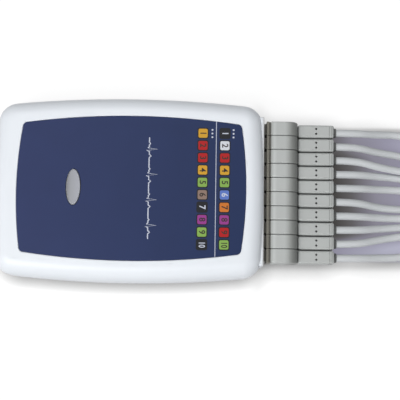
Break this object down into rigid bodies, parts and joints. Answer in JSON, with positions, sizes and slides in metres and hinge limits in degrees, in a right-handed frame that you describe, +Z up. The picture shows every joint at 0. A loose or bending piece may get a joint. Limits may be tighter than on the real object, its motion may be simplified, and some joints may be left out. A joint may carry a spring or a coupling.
{
  "type": "pc ecg unit",
  "caption": "Desktop ECG acquisition box with an oval key, a blue front label, a row of unpluggable electrode leads wound in a tied bundle, and a USB inlet.",
  "frame": {"origin": "on the table under the middle of the housing", "axes": "+X towards the row of lead plugs, +Y to the back, +Z up"},
  "size_m": [0.4467, 0.1014, 0.0286],
  "materials": {
    "shell_plastic": "fine satin moulding",
    "label_film": "satin printed film",
    "key_plastic": "satin",
    "plug_plastic": "soft satin moulding",
    "wire_jacket": "soft matte",
    "socket_plastic": "matte moulding",
    "contact_metal": "bright turned",
    "pin_metal": "bright nickel plate",
    "board_laminate": "solder mask",
    "chip_plastic": "matte moulding",
    "tinned_steel": "bright tin plate",
    "screw_steel": "zinc plate",
    "component_ceramic": "matte",
    "capacitor_can": "plain can",
    "transformer_plastic": "matte moulding",
    "usb_plastic": "matte moulding",
    "foot_rubber": "matte",
    "plate_film": "satin film",
    "tie_rubber": "matte",
    "grip_plastic": "satin moulding in one colour a lead"
  },
  "bodies": {
    "box": {"top_cover": "shell_plastic", "bottom_cover": "shell_plastic", "front_label": "label_film", "rating_plate": "plate_film", "rubber_feet": "foot_rubber", "key_switch": "chip_plastic", "main_board": "board_laminate", "board_screws": "screw_steel", "cover_screws": "screw_steel", "lead_frame": "shell_plastic", "lead_socket_block": "socket_plastic", "socket_contacts": "contact_metal", "usb_shell": "tinned_steel", "usb_insert": "usb_plastic", "usb_contacts": "contact_metal", "shield_can": "tinned_steel", "isolation_transformer": "transformer_plastic", "capacitors": "capacitor_can", "crystal": "tinned_steel", "protection_resistors": "component_ceramic", "circuit_chips": "chip_plastic", "coil_tie": "tie_rubber", "lead_wire_coil": "wire_jacket", "lead_wire_ends": "wire_jacket", "electrode_grips": "grip_plastic", "electrode_pins": "pin_metal", "lead_wire_01": "wire_jacket", "lead_wire_02": "wire_jacket", "lead_wire_03": "wire_jacket", "lead_wire_04": "wire_jacket", "lead_wire_05": "wire_jacket", "lead_wire_06": "wire_jacket", "lead_wire_07": "wire_jacket", "lead_wire_08": "wire_jacket", "lead_wire_09": "wire_jacket", "lead_wire_10": "wire_jacket"},
    "key": {"oval_key": "key_plastic", "switch_plunger": "chip_plastic"},
    "lead_01": {"lead_plug_01": "plug_plastic", "lead_pin_01": "pin_metal"},
    "lead_02": {"lead_plug_02": "plug_plastic", "lead_pin_02": "pin_metal"},
    "lead_03": {"lead_plug_03": "plug_plastic", "lead_pin_03": "pin_metal"},
    "lead_04": {"lead_plug_04": "plug_plastic", "lead_pin_04": "pin_metal"},
    "lead_05": {"lead_plug_05": "plug_plastic", "lead_pin_05": "pin_metal"},
    "lead_06": {"lead_plug_06": "plug_plastic", "lead_pin_06": "pin_metal"},
    "lead_07": {"lead_plug_07": "plug_plastic", "lead_pin_07": "pin_metal"},
    "lead_08": {"lead_plug_08": "plug_plastic", "lead_pin_08": "pin_metal"},
    "lead_09": {"lead_plug_09": "plug_plastic", "lead_pin_09": "pin_metal"},
    "lead_10": {"lead_plug_10": "plug_plastic", "lead_pin_10": "pin_metal"}
  },
  "joints": [
    {"name": "key_press", "type": "slide", "parent": "box", "child": "key", "axis": [0, 0, -1], "range_m": [0, 0.0007], "stiffness_N_per_m": 1200, "springref_m": -0.0006},
    {"name": "lead_01_pull", "type": "slide", "parent": "box", "child": "lead_01", "axis": [1, 0, 0], "range_m": [0, 0.012], "deforming": ["lead_wire_01"]},
    {"name": "lead_02_pull", "type": "slide", "parent": "box", "child": "lead_02", "axis": [1, 0, 0], "range_m": [0, 0.012], "deforming": ["lead_wire_02"]},
    {"name": "lead_03_pull", "type": "slide", "parent": "box", "child": "lead_03", "axis": [1, 0, 0], "range_m": [0, 0.012], "deforming": ["lead_wire_03"]},
    {"name": "lead_04_pull", "type": "slide", "parent": "box", "child": "lead_04", "axis": [1, 0, 0], "range_m": [0, 0.012], "deforming": ["lead_wire_04"]},
    {"name": "lead_05_pull", "type": "slide", "parent": "box", "child": "lead_05", "axis": [1, 0, 0], "range_m": [0, 0.012], "deforming": ["lead_wire_05"]},
    {"name": "lead_06_pull", "type": "slide", "parent": "box", "child": "lead_06", "axis": [1, 0, 0], "range_m": [0, 0.012], "deforming": ["lead_wire_06"]},
    {"name": "lead_07_pull", "type": "slide", "parent": "box", "child": "lead_07", "axis": [1, 0, 0], "range_m": [0, 0.012], "deforming": ["lead_wire_07"]},
    {"name": "lead_08_pull", "type": "slide", "parent": "box", "child": "lead_08", "axis": [1, 0, 0], "range_m": [0, 0.012], "deforming": ["lead_wire_08"]},
    {"name": "lead_09_pull", "type": "slide", "parent": "box", "child": "lead_09", "axis": [1, 0, 0], "range_m": [0, 0.012], "deforming": ["lead_wire_09"]},
    {"name": "lead_10_pull", "type": "slide", "parent": "box", "child": "lead_10", "axis": [1, 0, 0], "range_m": [0, 0.012], "deforming": ["lead_wire_10"]}
  ]
}
